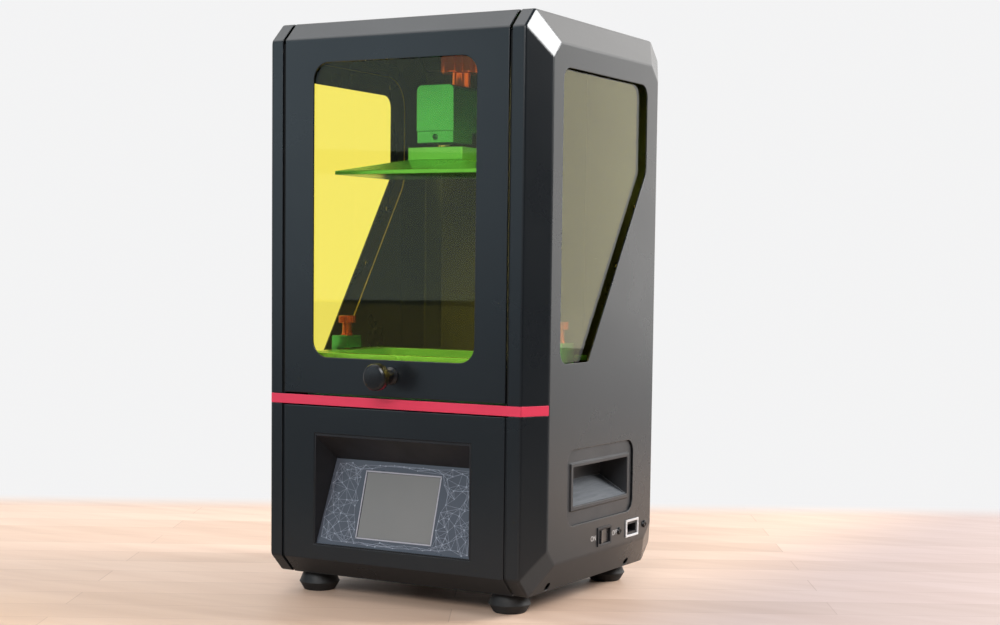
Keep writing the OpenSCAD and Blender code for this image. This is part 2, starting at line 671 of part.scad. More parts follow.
module z_motor() {
    color([0.15, 0.15, 0.16]) difference() {
        union() {
            translate([0, axis_y, deck_low - 2 - 38]) linear_extrude(38) rounded(motor_w, motor_w, 4);
            post(0, axis_y, deck_low - 2 - eps, deck_low + 0.5, 11);
            for (x = [-1, 1], y = [-1, 1]) post(x * 15.5, axis_y + y * 15.5, deck_low - 2 - eps, deck_low, 3.2);
        }
        post(0, axis_y, deck_low - 20, deck_low + 1, shaft_r + run);
    }
}
module lead_screw() {
    color([0.75, 0.76, 0.78]) post(0, axis_y, screw_low, cap_top - 1, rod_r);
}
module coupling() {
    color([0.7, 0.71, 0.73]) {
        difference() {
            post(0, axis_y, deck_z + 3, coupling_top, 9.5);
            post(0, axis_y, screw_low, coupling_top + 1, rod_r + 0.01);
            for (i = [0 : 2]) translate([-10, axis_y - 10, deck_z + 8.5 + 2 * i]) cube([20, 16 , 0.6]);
        }
        post(0, axis_y, deck_low - 14, deck_z + 3 + eps, shaft_r);
    }
}
plate_z = top_z - plate_drop;
plate_t = 2.6;
roof_h = 8.3;
boss_h = 8.5;
boss_z = plate_z + plate_t + roof_h;
clamp_gap = 2.9;
ball_r = 6.4;
head_z = boss_z + boss_h + clamp_gap;
head_band = 8;
head_h = 39.9;
head_top = head_z + head_h;
head_x = 15;
head_front = plate_y - 13;
head_len = 55;
knob_y = plate_y + 22;
arm_low = head_z + 15.5;
arm_top = head_top - 6.4;
arm_x = 9;
car_low = head_z + 6.5;
car_top = head_top - 5.4;
car_x = 30;
bearing_r = 7.5;
module carriage() {
    color([0.5, 0.51, 0.53]) difference() {
        box(-car_x, car_x, axis_y - 12, axis_y + 12, car_low, car_top);
        post(0, axis_y, car_low - 1, car_top + 1, 5.1);
        for (s = [-1, 1]) post(s * rod_x, axis_y, car_low - 1, car_top + 1, bearing_r + 0.02);
    }
}
module rod_bearings() {
    color([0.7, 0.7, 0.72]) for (s = [-1, 1]) difference() {
        post(s * rod_x, axis_y, car_low, car_top, bearing_r);
        post(s * rod_x, axis_y, car_low - 1, car_top + 1, rod_r + run);
    }
}
module screw_nut() {
    color([0.75, 0.6, 0.3]) difference() {
        union() {
            post(0, axis_y, car_low - 3.5, car_low, 11);
            post(0, axis_y, car_low - eps, car_low + 12, 5);
        }
        post(0, axis_y, car_low - 5, car_low + 13, rod_r + run);
        for (a = [45 : 90 : 315]) rotate_about_axis(a) translate([8, 0, car_low - 5]) cylinder(h = 6, r = 1.6);
    }
}
module rotate_about_axis(a) { translate([0, axis_y, 0]) rotate([0, 0, a]) children(); }
stud_r = 3;
module z_arm() {
    color([0.1, 0.1, 0.1]) difference() {
        union() {
            box(-arm_x, arm_x, plate_y + 6, axis_y - 12, arm_low, arm_top);
            box(-arm_x, arm_x, axis_y - 20.4, axis_y - 12, car_low + 1, car_top);
        }
        post(0, knob_y, arm_top - 12, arm_top + 1, stud_r + run);
    }
}
module platform_head() {
    color([0.25, 0.7, 0.6]) difference() {
        union() {
            translate([0, head_front, 0]) along_y(0, head_len) {
                translate([-head_x, head_z + head_band]) square([2 * head_x, head_h - head_band - 4]);
                translate([-head_x + 4, head_z + head_band + 1])
                    square([2 * head_x - 8, head_h - head_band - 1]);
                for (s = [-1, 1]) translate([s * (head_x - 4), head_top - 4]) circle(4);
            }
            box(-head_x + 0.4, head_x - 0.4, head_front + 0.4, head_front + 26,
                head_z, head_z + head_band + eps);
        }
        box(-arm_x - seat, arm_x + seat, plate_y + 6 - seat, head_front + head_len + 1,
            arm_low - seat, arm_top + seat);
        translate([0, plate_y, head_z + head_band / 2]) sphere(ball_r + 0.3);
        post(0, plate_y, head_z - 1, head_z + head_band / 2, ball_r - 0.5);
        post(0, knob_y, arm_top - 1, head_top + 1, stud_r + run);
        translate([0, head_front - 1, head_z + head_band / 2]) rotate([-90, 0, 0]) cylinder(h = 8, r = 2);
    }
}
lobes = 8;
neck_r = 6.5;
module platform_knob() {
    z0 = head_top + 0.2;
    z1 = head_top + 10.9;
    color([0.85, 0.15, 0.05]) translate([0, knob_y, 0]) {
        difference() {
            union() {
                post(0, 0, z1, z1 + 11.5, star_r - 0.8);
                post(0, 0, z1 + 0.8, z1 + 10.7, star_r);
            }
            for (i = [0 : lobes - 1]) rotate([0, 0, (i + 0.5) * 360 / lobes]) translate([star_r + 1, 0, z1 - 1])
                cylinder(h = 14, r = 3.4);
            post(0, 0, z1 + 10.5, z1 + 12, star_r - 5);
        }
        post(0, 0, z0, z1 + eps, neck_r);
        post(0, 0, arm_top - 10, z0 + eps, stud_r);
    }
}
// The plate's back slopes up to the boss so that resin drains off.
module build_plate() {
    color([0.25, 0.7, 0.6]) translate([0, plate_y, 0]) {
        translate([-plate_w / 2, -plate_d / 2, plate_z]) cube([plate_w, plate_d, plate_t]);
        hull() {
            translate([-plate_w / 2, -plate_d / 2, plate_z + plate_t - eps]) cube([plate_w, plate_d, eps]);
            translate([-22, -12.5, boss_z - eps]) cube([44, 25, eps]);
        }
        difference() {
            translate([-22, -12.5, boss_z - eps]) cube([44, 25, boss_h]);
            for (x = [-1, 1]) post(x * 17, 0, boss_z + 3, boss_z + boss_h + 1, 2.6);
        }
    }
}
module ball_stem() {
    color([0.7, 0.7, 0.72]) translate([0, plate_y, 0]) {
        translate([0, 0, head_z + head_band / 2]) sphere(ball_r);
        post(0, 0, boss_z + boss_h, head_z + head_band / 2, 4);
    }
}

// ---- ultraviolet lamp ----
reflector_up = 52;
reflector_low = base_z + reflector_up;
funnel_in = [28, 28];
funnel_out = [mask_w / 2 - 4, mask_d / 2 - 3];
module funnel(grow, over) {
    hull() {
        translate([0, lamp_y, reflector_low - over]) linear_extrude(eps)
            square([2 * (funnel_in[0] + grow), 2 * (funnel_in[1] + grow)], center = true);
        translate([0, lamp_y, deck_low - 2 + over]) linear_extrude(eps)
            square([2 * (funnel_out[0] + grow), 2 * (funnel_out[1] + grow)], center = true);
    }
}
module uv_reflector() {
    color([0.7, 0.71, 0.72]) difference() {
        union() {
            funnel(1.2, 0);
            box(-mask_w / 2 - 8, mask_w / 2 + 8, lamp_y - mask_d / 2 - 6, lamp_y + mask_d / 2 + 6,
                deck_low - 2, deck_low);
        }
        funnel(0, 0.02);
        box(-funnel_out[0], funnel_out[0], lamp_y - funnel_out[1], lamp_y + funnel_out[1],
            deck_low - 3, deck_low + 1);
    }
}
led_pitch = 10.5;
module led_grid() {
    for (i = [-2 : 2], j = [-2 : 2]) translate([i * led_pitch, lamp_y + j * led_pitch, 0]) children();
}
lens_w = funnel_in[0] + 1;                    // half widths of the lamp's layers
sink_w = lens_w + 1;
module lens_plate() {
    z = reflector_low - 2;
    color([0.85, 0.87, 0.9, 0.5]) {
        box(-lens_w, lens_w, lamp_y - lens_w, lamp_y + lens_w, z, reflector_low);
        led_grid() post(0, 0, reflector_low - eps, reflector_low + 1.6, 4);
        for (x = [-1, 1], y = [-1, 1]) post(x * (lens_w - 2), lamp_y + y * (lens_w - 2), z - 2.4, z + eps, 2);
    }
}
board_top = reflector_low - 4.4;
module led_board() {
    color([0.9, 0.9, 0.88]) {
        box(-lens_w, lens_w, lamp_y - lens_w, lamp_y + lens_w, board_top - 1.6, board_top);
        led_grid() post(0, 0, board_top - eps, board_top + 1.4, 1.8);
    }
}
sink_top = board_top - 1.6;
sink_low = sink_top - 24;
fin_pitch = (sink_w - 1.2) / 6;
module heat_sink() {
    color([0.6, 0.61, 0.63]) {
        box(-sink_w, sink_w, lamp_y - sink_w, lamp_y + sink_w, sink_top - 4, sink_top);
        for (i = [-6 : 6]) box(i * fin_pitch - 0.8, i * fin_pitch + 0.8, lamp_y - sink_w, lamp_y + sink_w,
            sink_low, sink_top - 4 + eps);
    }
}
fan_t = 10;
fan_bore = 27.5;
// A square axial fan, open along its own Z, with its hub carried by four arms.
module fan_frame(t) {
    difference() {
        linear_extrude(t) difference() {
            rounded(fan_w, fan_w, 3);
            circle(fan_bore);
            for (x = [-1, 1], y = [-1, 1]) translate([x * 25, y * 25]) circle(2.1);
        }
    }
    for (a = [45 : 90 : 315]) rotate([0, 0, a]) translate([8, -1.5, 0]) cube([fan_bore - 7, 3, 1.8]);
    cylinder(h = 1.8, r = 12);
    cylinder(h = 4.5, r = 1.5);
}
module fan_rotor(t) {
    translate([0, 0, 2.2]) {
        difference() {
            cylinder(h = t - 3, r = 11.5);
            translate([0, 0, -1]) cylinder(h = 4, r = 1.5 + run);
        }
        for (a = [0 : 360 / 7 : 359]) rotate([0, 0, a]) translate([10, 0, (t - 3) / 2]) rotate([38, 0, 0])
            translate([0, -(t - 4) * 0.6, -0.5]) cube([16, (t - 4) * 1.2, 1]);
    }
}
lamp_fan_z = sink_low - 0.2;
module lamp_fan() {
    color([0.05, 0.05, 0.05]) translate([0, lamp_y, lamp_fan_z]) rotate([180, 0, 0]) fan_frame(fan_t);
}
module lamp_rotor() {
    color([0.08, 0.08, 0.08]) translate([0, lamp_y, lamp_fan_z]) rotate([180, 0, 0]) fan_rotor(fan_t);
}
exhaust_t = 15;
exhaust_y = rear_y - sheet - 0.1;
module at_exhaust() { translate([fan_x, exhaust_y - exhaust_t, fan_z]) rotate([-90, 0, 0]) children(); }
module exhaust_fan() { color([0.05, 0.05, 0.05]) at_exhaust() fan_frame(exhaust_t); }
module exhaust_rotor() { color([0.08, 0.08, 0.08]) at_exhaust() fan_rotor(exhaust_t); }

// ---- electronics ----
board_up = 8;
board_z = base_z + board_up;
board_t = 1.6;
board_x = [-70, 30];
board_edge = 16;                              // gap to the lamp's fan and to the back face
board_front = plate_y - front_y + fan_w / 2 + board_edge;
board_rear = body_d - board_edge;
chips = [[30, 28, 14, 2], [58, 14, 10, 1.6]];  // left and front edge on the board, size and height
plug = [10, 5, 7.4];                          // a cable socket
plug_pitch = 14;
module mainboard() {
    top = board_z + board_t - eps;
    color([0.05, 0.3, 0.15]) {
        box(board_x[0], board_x[1], front_y + board_front, front_y + board_rear, board_z, board_z + board_t);
        translate([board_x[0], front_y + board_front, top]) {
            for (c = chips) translate([c[0], c[1], 0]) cube([c[2], c[2], c[3]]);
            for (i = [0 : 3]) translate([6 + plug_pitch * i, 4, 0]) cube(plug);
        }
        for (x = [board_x[0] + 4, board_x[1] - 4], d = [board_front + 4, board_rear - 4])
            post(x, front_y + d, base_z + sheet, board_z + eps, 3);
    }
}
module power_jack() {
    color([0.04, 0.04, 0.04]) translate([jack_x, rear_y, jack_z]) rotate([90, 0, 0]) {
        difference() {
            union() {
                cylinder(h = 10, r = 5);
                translate([-6.5, -6.5, sheet + 0.1]) cube([13, 13, 11]);
            }
            translate([0, 0, -1]) cylinder(h = 10, r = 2.8);
        }
        cylinder(h = 10, r = 1);
    }
}

// ---- hinge: its axis lies in the top face, and its leaves under the door's and the body's skin ----
leaf_in = sheet + 0.05;
leaf_t = 0.8;
leaf_near = 3.5;                              // a leaf's plate begins this far from the axis
knuckle = hinge_len / knuckles;
module at_hinge(x0, x1) { along_x(x0, x1) translate([hinge_y, top_z]) children(); }
// Every second knuckle, each with the tongue that joins it to its leaf: towards the front or the back.
module knuckle_row(first, bore, way) {
    for (i = [first : 2 : knuckles - 1])
        at_hinge(-hinge_len / 2 + i * knuckle + 0.15, -hinge_len / 2 + (i + 1) * knuckle - 0.15) difference() {
            union() {
                circle(hinge_r);
                scale([way, 1]) translate([0, -leaf_in - leaf_t]) square([leaf_near + 1, leaf_t]);
            }
            circle(bore);
        }
}
module hinge_fixed_leaf() {
    color([0.2, 0.2, 0.21]) {
        knuckle_row(0, pin_r - eps, 1);
        box(-hinge_len / 2, hinge_len / 2, hinge_y + leaf_near, hinge_y + hinge_back,
            top_z - leaf_in - leaf_t, top_z - leaf_in);
        at_hinge(-hinge_len / 2, hinge_len / 2) circle(pin_r);
    }
}
module hinge_door_leaf() {
    color([0.2, 0.2, 0.21]) {
        knuckle_row(1, pin_r + run, -1);
        box(-hinge_len / 2, hinge_len / 2, hinge_y - hinge_back + 1.5, hinge_y - leaf_near,
            top_z - leaf_in - leaf_t, top_z - leaf_in);
    }
}

// ---- door ----
return_d = 8;
module door_shell() {
    wz = door_z + door_win_low + door_win_h / 2;
    color([0.09, 0.09, 0.1]) difference() {
        union() {
            along_x(-door_x, door_x) intersection() {
                skin(0, sheet);
                translate([front_y - 1, door_z]) square([hinge_y - axis_clear - front_y + 1, body_h]);
            }
            both_sides() box(door_x - sheet, door_x, front_y + eps, front_y + return_d,
                door_z, top_z - corner_cut - 1);
            box(-door_x, door_x, front_y + eps, front_y + return_d, door_z, door_z + sheet);
        }
        along_y(front_y - 1, front_y + 4) translate([0, wz]) rounded(2 * door_win_w, door_win_h, door_win_r);
        translate([0, front_y + 4, door_z + knob_up]) rotate([90, 0, 0]) cylinder(h = 6, r = 2.1);
    }
}
module door_window() {
    wz = door_z + door_win_low + door_win_h / 2;
    color([0.95, 0.75, 0.1, 0.5]) along_y(front_y + sheet + 0.1, front_y + sheet + 0.1 + pane_t)
        translate([0, wz]) rounded(2 * door_win_w + 14, door_win_h + 14, door_win_r);
}
module door_knob() {
    r = knob_r;
    color([0.03, 0.03, 0.03]) translate([0, front_y, door_z + knob_up]) rotate([90, 0, 0]) {
        rotate_extrude() union() {
            polygon([[0, 0], [6, 0], [6, 1.2], [4.2, 3], [3.8, knob_reach - 9], [r - 1.5, knob_reach - 8],
                [r, knob_reach - 6.5], [r, knob_reach - 2.2], [r - 0.6, knob_reach - 1], [r - 2, knob_reach - 0.3],
                [0, knob_reach]]);
        }
        translate([0, 0, -sheet - 2.4]) cylinder(h = sheet + 2.4 + eps, r = 2);
        translate([0, 0, -sheet - 2.4]) cylinder(h = 2.2, r = 3);
    }
}

left_cover();
right_cover();
top_panel();
back_panel();
base_plate();
lower_front_panel();
accent_band();
door_jambs();
left_window();
right_window();
pane_screws();
left_grip();
right_grip();
switch_housing();
switch_rocker();
usb_frame();
usb_socket();
port_screws();
screen_housing();
screen_plate();
display();
feet();
deck_plate();
lcd_panel();
vat_body();
vat_film();
vat_film_frame();
vat_brackets();
vat_screw_left();
vat_screw_right();
column_cover();
column_base();
column_cap();
guide_rods();
z_motor();
lead_screw();
coupling();
carriage();
rod_bearings();
screw_nut();
z_arm();
platform_head();
platform_knob();
build_plate();
ball_stem();
uv_reflector();
lens_plate();
led_board();
heat_sink();
lamp_fan();
lamp_rotor();
exhaust_fan();
exhaust_rotor();
mainboard();
power_jack();
hinge_fixed_leaf();
hinge_door_leaf();
door_shell();
door_window();
door_knob();
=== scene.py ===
import json
import random
from math import atan2, cos, radians, sin

import bmesh
import bpy
from mathutils import Matrix, Vector


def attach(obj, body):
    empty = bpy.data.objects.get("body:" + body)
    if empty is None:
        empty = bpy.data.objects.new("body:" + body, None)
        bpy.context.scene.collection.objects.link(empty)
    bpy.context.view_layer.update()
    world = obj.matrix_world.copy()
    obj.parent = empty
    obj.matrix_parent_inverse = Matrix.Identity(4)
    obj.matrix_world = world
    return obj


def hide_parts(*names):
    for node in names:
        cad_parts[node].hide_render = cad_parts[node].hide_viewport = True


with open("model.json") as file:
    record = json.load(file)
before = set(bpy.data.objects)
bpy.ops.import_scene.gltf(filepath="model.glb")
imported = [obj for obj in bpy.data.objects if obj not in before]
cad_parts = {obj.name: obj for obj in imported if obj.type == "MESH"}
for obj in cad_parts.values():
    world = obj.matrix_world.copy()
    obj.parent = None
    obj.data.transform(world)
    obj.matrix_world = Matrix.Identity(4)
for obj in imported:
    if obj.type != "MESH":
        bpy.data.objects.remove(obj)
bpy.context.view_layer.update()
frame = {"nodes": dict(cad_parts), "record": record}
scene = bpy.context.scene
scene.view_settings.view_transform = "Standard"
MM = 0.001

# ---------------------------------------------------------------- camera
CAMERA_PLACE = (0.638687, -1.057574, 0.229506)
CAMERA_TURNS = (28.5907, -4.3705, 0.7895)  # yaw, pitch and roll in degrees
CAMERA_LENS = 62.094
CAMERA_SHIFT = (-0.0356, 0.0882)


def aim_camera():
    yaw, pitch, roll = (radians(turn) for turn in CAMERA_TURNS)
    ahead = Vector((-sin(yaw) * cos(pitch), cos(yaw) * cos(pitch), sin(pitch)))
    level = Vector((cos(yaw), sin(yaw), 0))
    upright = level.cross(ahead)
    right = cos(roll) * level + sin(roll) * upright
    up = cos(roll) * upright - sin(roll) * level
    lens = bpy.data.cameras.new("camera")
    lens.sensor_width = 36
    lens.lens = CAMERA_LENS
    lens.shift_x, lens.shift_y = CAMERA_SHIFT
    lens.clip_start = 0.05
    camera = bpy.data.objects.new("camera", lens)
    facing = Matrix((right, up, -ahead)).transposed().to_4x4()
    camera.matrix_world = Matrix.Translation(CAMERA_PLACE) @ facing
    scene.collection.objects.link(camera)
    scene.camera = camera


aim_camera()

# ---------------------------------------------------------------- materials
# nearly all the values of a noise texture lie between these two
NOISE_LOW, NOISE_HIGH = 0.3, 0.7
PATCH_DETAIL, GLOSS_DETAIL = 4, 5
ACRYLIC_IOR = 1.49


class Wiring:
    """Short forms for the shader nodes of a material or of the world."""

    def __init__(self, tree):
        self.nodes = tree.nodes
        self.links = tree.links

    def new(self, kind):
        return self.nodes.new("ShaderNode" + kind)

    def feed(self, socket, value):
        """Links an output to the socket, or sets the socket to a plain value."""
        if isinstance(value, bpy.types.NodeSocket):
            self.links.new(value, socket)
        else:
            socket.default_value = value

    def ray(self, kind):
        return self.new("LightPath").outputs[kind]

    def maths(self, operation, first, second):
        node = self.new("Math")
        node.operation = operation
        self.feed(node.inputs[0], first)
        self.feed(node.inputs[1], second)
        return node.outputs["Value"]

    def along(self, vector, heading):
        """How far the vector reaches in the heading."""
        dot = self.new("VectorMath")
        dot.operation = "DOT_PRODUCT"
        self.feed(dot.inputs[0], vector)
        self.feed(dot.inputs[1], heading)
        return dot.outputs["Value"]

    def slope(self, value, start, end):
        """Rises softly from 0 at start to 1 at end."""
        ramp = self.new("MapRange")
        ramp.interpolation_type = "SMOOTHSTEP"
        ramp.inputs["From Min"].default_value = start
        ramp.inputs["From Max"].default_value = end
        self.feed(ramp.inputs["Value"], value)
        return ramp.outputs["Result"]

    def blend(self, factor, low, high, way="MIX"):
        """One colour where the factor is 0, and the other where it is 1."""
        mix = self.new("Mix")
        mix.data_type = "RGBA"
        mix.blend_type = way
        self.feed(mix.inputs["Factor"], factor)
        self.feed(mix.inputs["A"], low)
        self.feed(mix.inputs["B"], high)
        return mix.outputs["Result"]

    def choose(self, factor, first, second):
        """One shader where the factor is 0, and the other where it is 1."""
        mix = self.new("MixShader")
        self.feed(mix.inputs["Fac"], factor)
        self.feed(mix.inputs[1], first)
        self.feed(mix.inputs[2], second)
        return mix.outputs["Shader"]


class Recipe(Wiring):
    """A material on one Principled shader, built up a layer at a time."""

    def __init__(self, name, colour, rough, metal=0.0):
        self.material = bpy.data.materials.new(name)
        self.material.use_nodes = True
        super().__init__(self.material.node_tree)
        self.shader = self.nodes["Principled BSDF"]
        self.surface = self.nodes["Material Output"].inputs["Surface"]
        self.colour = colour
        self.set("Base Color", (*colour, 1))
        self.set("Roughness", rough)
        self.set("Metallic", metal)
        self.place = self.new("TexCoord").outputs["Object"]
        self.relief = None

    def set(self, socket, value):
        self.shader.inputs[socket].default_value = value
        return self

    def noise(self, scale, detail, stretch=None):
        texture = self.new("TexNoise")
        texture.inputs["Scale"].default_value = scale
        texture.inputs["Detail"].default_value = detail
        source = self.place
        if stretch:
            mapping = self.new("Mapping")
            mapping.inputs["Scale"].default_value = stretch
            self.links.new(source, mapping.inputs["Vector"])
            source = mapping.outputs["Vector"]
        self.links.new(source, texture.inputs["Vector"])
        return texture.outputs["Fac"]

    def span(self, factor, low, high):
        """Stretches a noise from its usual values to low and high."""
        ranged = self.new("MapRange")
        ranged.inputs["From Min"].default_value = NOISE_LOW
        ranged.inputs["From Max"].default_value = NOISE_HIGH
        ranged.inputs["To Min"].default_value = low
        ranged.inputs["To Max"].default_value = high
        self.links.new(factor, ranged.inputs["Value"])
        return ranged.outputs["Result"]

    def mottle(self, scale, other, share=1.0, stretch=None):
        """The colour drifts towards another one in soft patches."""
        patches = self.span(self.noise(scale, PATCH_DETAIL, stretch), 0, share)
        drift = self.blend(patches, (*self.colour, 1), (*other, 1))
        self.links.new(drift, self.shader.inputs["Base Color"])
        return self

    def handling(self, scale, low, high, stretch=None):
        """The gloss changes a little from place to place."""
        gloss = self.span(self.noise(scale, GLOSS_DETAIL, stretch), low, high)
        self.links.new(gloss, self.shader.inputs["Roughness"])
        return self

    def grain(self, scale, height, detail=2.0, stretch=None):
        """A fine relief, on top of any coarser one."""
        bump = self.new("Bump")
        bump.inputs["Distance"].default_value = height
        bump.inputs["Strength"].default_value = 1.0
        self.links.new(self.noise(scale, detail, stretch), bump.inputs["Height"])
        if self.relief:
            self.links.new(self.relief, bump.inputs["Normal"])
        self.relief = bump.outputs["Normal"]
        self.links.new(self.relief, self.shader.inputs["Normal"])
        return self

    def clear(self, tint):
        """Lets light through, and lets lamps shine through it as well."""
        self.set("Transmission Weight", 1.0)
        self.set("IOR", ACRYLIC_IOR)
        open_air = self.new("BsdfTransparent")
        open_air.inputs["Color"].default_value = (*tint, 1)
        lit = self.choose(self.ray("Is Shadow Ray"), self.shader.outputs["BSDF"], open_air.outputs["BSDF"])
        self.links.new(lit, self.surface)
        return self


def powder_coat():
    coat = Recipe("black_powder_coat", (0.008, 0.0105, 0.0135), 0.31)
    coat.set("Specular IOR Level", 0.65).mottle(9, (0.011, 0.0135, 0.016))
    return coat.handling(14, 0.26, 0.32).grain(1100, 0.000012).grain(260, 0.00001).material


def lining_coat():
    coat = Recipe("black_lining_coat", (0.009, 0.0095, 0.01), 0.5)
    coat.set("Specular IOR Level", 0.3)
    return coat.mottle(12, (0.013, 0.013, 0.013)).handling(20, 0.46, 0.56).grain(500, 0.000004).material


def moulded_black(name, colour=(0.014, 0.014, 0.016), rough=0.42, height=0.00003):
    plastic = Recipe(name, colour, rough)
    lighter = tuple(c * 1.5 for c in colour)
    plastic.mottle(40, lighter).handling(60, rough - 0.05, rough + 0.06)
    return plastic.grain(2200, height, 1).material


# painted sheen: this pale grey stands in for the light that the grips' upward-facing slopes catch
def painted_sheen_slope():
    plastic = Recipe("painted_sheen_slope", (0.14, 0.15, 0.165), 0.4)
    plastic.mottle(60, (0.2, 0.21, 0.225), 1.0, (14, 1, 1)).handling(60, 0.35, 0.46)
    return plastic.grain(1500, 0.00002, 1).material


def amber_acrylic():
    tint = (1.0, 0.93, 0.36)
    pane = Recipe("amber_acrylic", tint, 0.015)
    return pane.clear(tint).set("IOR", 1.3).handling(7, 0.01, 0.022).material


def sawn_edge():
    edge = Recipe("sawn_amber_edge", (0.6, 0.5, 0.24), 0.5)
    return edge.mottle(300, (0.5, 0.41, 0.19)).handling(200, 0.4, 0.6).grain(1500, 0.00004).material


def anodised(name, colour, deeper, rough, metallic):
    metal = Recipe(name, colour, rough, metallic)
    metal.mottle(30, deeper, 0.5).handling(25, rough - 0.04, rough + 0.05)
    return metal.grain(1500, 0.000004, 1).material


def machined(name, colour, rough=0.3, stretch=(1, 1, 60)):
    metal = Recipe(name, colour, rough, 1.0)
    metal.mottle(60, tuple(c * 0.8 for c in colour), 0.8, stretch)
    return metal.handling(80, rough - 0.06, rough + 0.1, stretch).grain(400, 0.00001, 3, stretch).material


def foot_rubber():
    rubber = Recipe("foot_rubber", (0.012, 0.012, 0.013), 0.6)
    return rubber.mottle(80, (0.03, 0.029, 0.028)).handling(50, 0.5, 0.72).grain(900, 0.00006).material


def band_red():
    red = Recipe("band_red", (0.87, 0.056, 0.122), 0.34)
    red.mottle(30, (0.83, 0.05, 0.11), 0.7).handling(40, 0.3, 0.4)
    return red.grain(1500, 0.00002).material


def printed_film():
    film = Recipe("printed_film", (0.058, 0.067, 0.088), 0.3)
    return film.mottle(25, (0.07, 0.08, 0.103)).handling(30, 0.26, 0.34).grain(1800, 0.000012).material


def touch_film():
    film = Recipe("touch_film", (0.185, 0.18, 0.17), 0.24)
    return film.mottle(14, (0.206, 0.2, 0.19)).handling(12, 0.18, 0.26).grain(2500, 0.000008).material


def flat_ink(name, colour, rough=0.45):
    ink = Recipe(name, colour, rough)
    darker = tuple(c * 0.85 for c in colour)
    return ink.mottle(300, darker, 0.6).handling(200, rough - 0.05, rough + 0.05).material


def clear_film():
    film = Recipe("vat_film", (0.92, 0.94, 0.94), 0.05)
    return film.clear((0.92, 0.94, 0.94)).handling(30, 0.03, 0.08).material


def dark_glass():
    glass = Recipe("mask_glass", (0.01, 0.012, 0.016), 0.06)
    return glass.mottle(20, (0.014, 0.015, 0.02)).handling(15, 0.04, 0.09).material


def circuit_board():
    board = Recipe("circuit_board", (0.015, 0.13, 0.05), 0.35)
    return board.mottle(500, (0.03, 0.2, 0.08)).handling(200, 0.3, 0.45).grain(1200, 0.00002).material


COAT = powder_coat()
LINING = lining_coat()
MOULDED = moulded_black("moulded_black")
SHINY_KNOB = moulded_black("knob_black", (0.012, 0.012, 0.013), 0.26, 0.00001)
AMBER = amber_acrylic()
SAWN_EDGE = sawn_edge()
GREEN = anodised("green_anodised", (0.075, 0.44, 0.38), (0.065, 0.39, 0.34), 0.2, 0.8)
# painted sheen for the grips' upward-facing slopes
GRIP_SLOPE_PAINTED_SHEEN = painted_sheen_slope()
SATIN_GREEN = anodised("satin_green_anodised", (0.19, 0.56, 0.34), (0.17, 0.5, 0.3), 0.24, 0.35)
PLATE_GREEN = anodised("plate_green_anodised", (0.14, 0.54, 0.38), (0.12, 0.48, 0.34), 0.22, 0.5)
KNOB_RED = anodised("bright_red_anodised", (1.0, 0.17, 0.06), (0.92, 0.14, 0.05), 0.14, 0.5)
SCREW_RED = anodised("dark_red_anodised", (0.5, 0.07, 0.03), (0.42, 0.055, 0.025), 0.2, 0.7)
ALUMINIUM = machined("machined_aluminium", (0.6, 0.61, 0.63))
STEEL = machined("ground_steel", (0.62, 0.63, 0.65), 0.2)
BLACK_STEEL = machined("blackened_steel", (0.06, 0.06, 0.062), 0.25, (1, 1, 1))
BRASS = machined("turned_brass", (0.72, 0.53, 0.24), 0.3)
WHITE = flat_ink("white_enamel", (0.74, 0.75, 0.77), 0.35)
DRESSING = {
    COAT: ["left_cover", "right_cover", "top_panel", "back_panel", "base_plate", "lower_front_panel",
           "door_shell", "hinge_fixed_leaf", "hinge_door_leaf"],
    LINING: ["door_jambs", "deck_plate", "column_cover", "z_arm"],
    moulded_black("grip_black", (0.026, 0.027, 0.03), 0.42): ["left_grip", "right_grip"],
    MOULDED: ["switch_housing", "usb_socket", "screen_housing", "lamp_fan",
              "lamp_rotor", "exhaust_fan", "exhaust_rotor", "power_jack"],
    SHINY_KNOB: ["door_knob", "switch_rocker"],
    AMBER: ["left_window", "right_window", "door_window"],
    GREEN: ["vat_brackets", "platform_head"],
    SATIN_GREEN: ["vat_body", "vat_film_frame"],
    PLATE_GREEN: ["build_plate"],
    KNOB_RED: ["platform_knob"],
    SCREW_RED: ["vat_screw_left", "vat_screw_right"],
    ALUMINIUM: ["column_base", "column_cap", "carriage", "uv_reflector", "heat_sink", "coupling"],
    STEEL: ["guide_rods", "lead_screw", "rod_bearings", "ball_stem"],
    BLACK_STEEL: ["port_screws", "pane_screws"],
    BRASS: ["screw_nut"],
    WHITE: ["usb_frame"],
    foot_rubber(): ["feet"],
    band_red(): ["accent_band"],
    printed_film(): ["screen_plate"],
    touch_film(): ["display"],
    clear_film(): ["vat_film", "lens_plate"],
    dark_glass(): ["lcd_panel"],
    flat_ink("lamp_board_white", (0.68, 0.68, 0.66)): ["led_board"],
    circuit_board(): ["mainboard"],
    moulded_black("motor_enamel", (0.02, 0.02, 0.02), 0.3): ["z_motor"],
}
finish_of = {}
for material, nodes in DRESSING.items():
    for node in nodes:
        finish_of[node] = material
        piece = frame["nodes"][node]
        piece.data.materials.clear()
        piece.data.materials.append(material)

# ---------------------------------------------------------------- making pieces
MERGE_DISTANCE = 0.002 * MM
FLAT_ANGLE = radians(0.6)  # faces that turn by less are one face
FOLD_ANGLE = radians(18)  # edges that turn by more are folds
RIM_ANGLE = radians(76)  # edges that turn by more are rims
EVEN_NORMALS_RIM = 0.15  # rims wider than this, in mm, need evened normals
EVEN_NORMALS_WEIGHT = 100
# the slope's faces that these pick get the painted sheen
SLOPE_UP, SLOPE_OUT, SLOPE_AREA = 0.4, 0.1, 3e-4  # the grip's slope leans and faces up, and is large
PANE_FACE = 0.9  # a pane's faces point along its axis by more than this

body_of = {node: body for body, nodes in frame["record"]["behaviour"]["bodies"].items() for node in nodes}


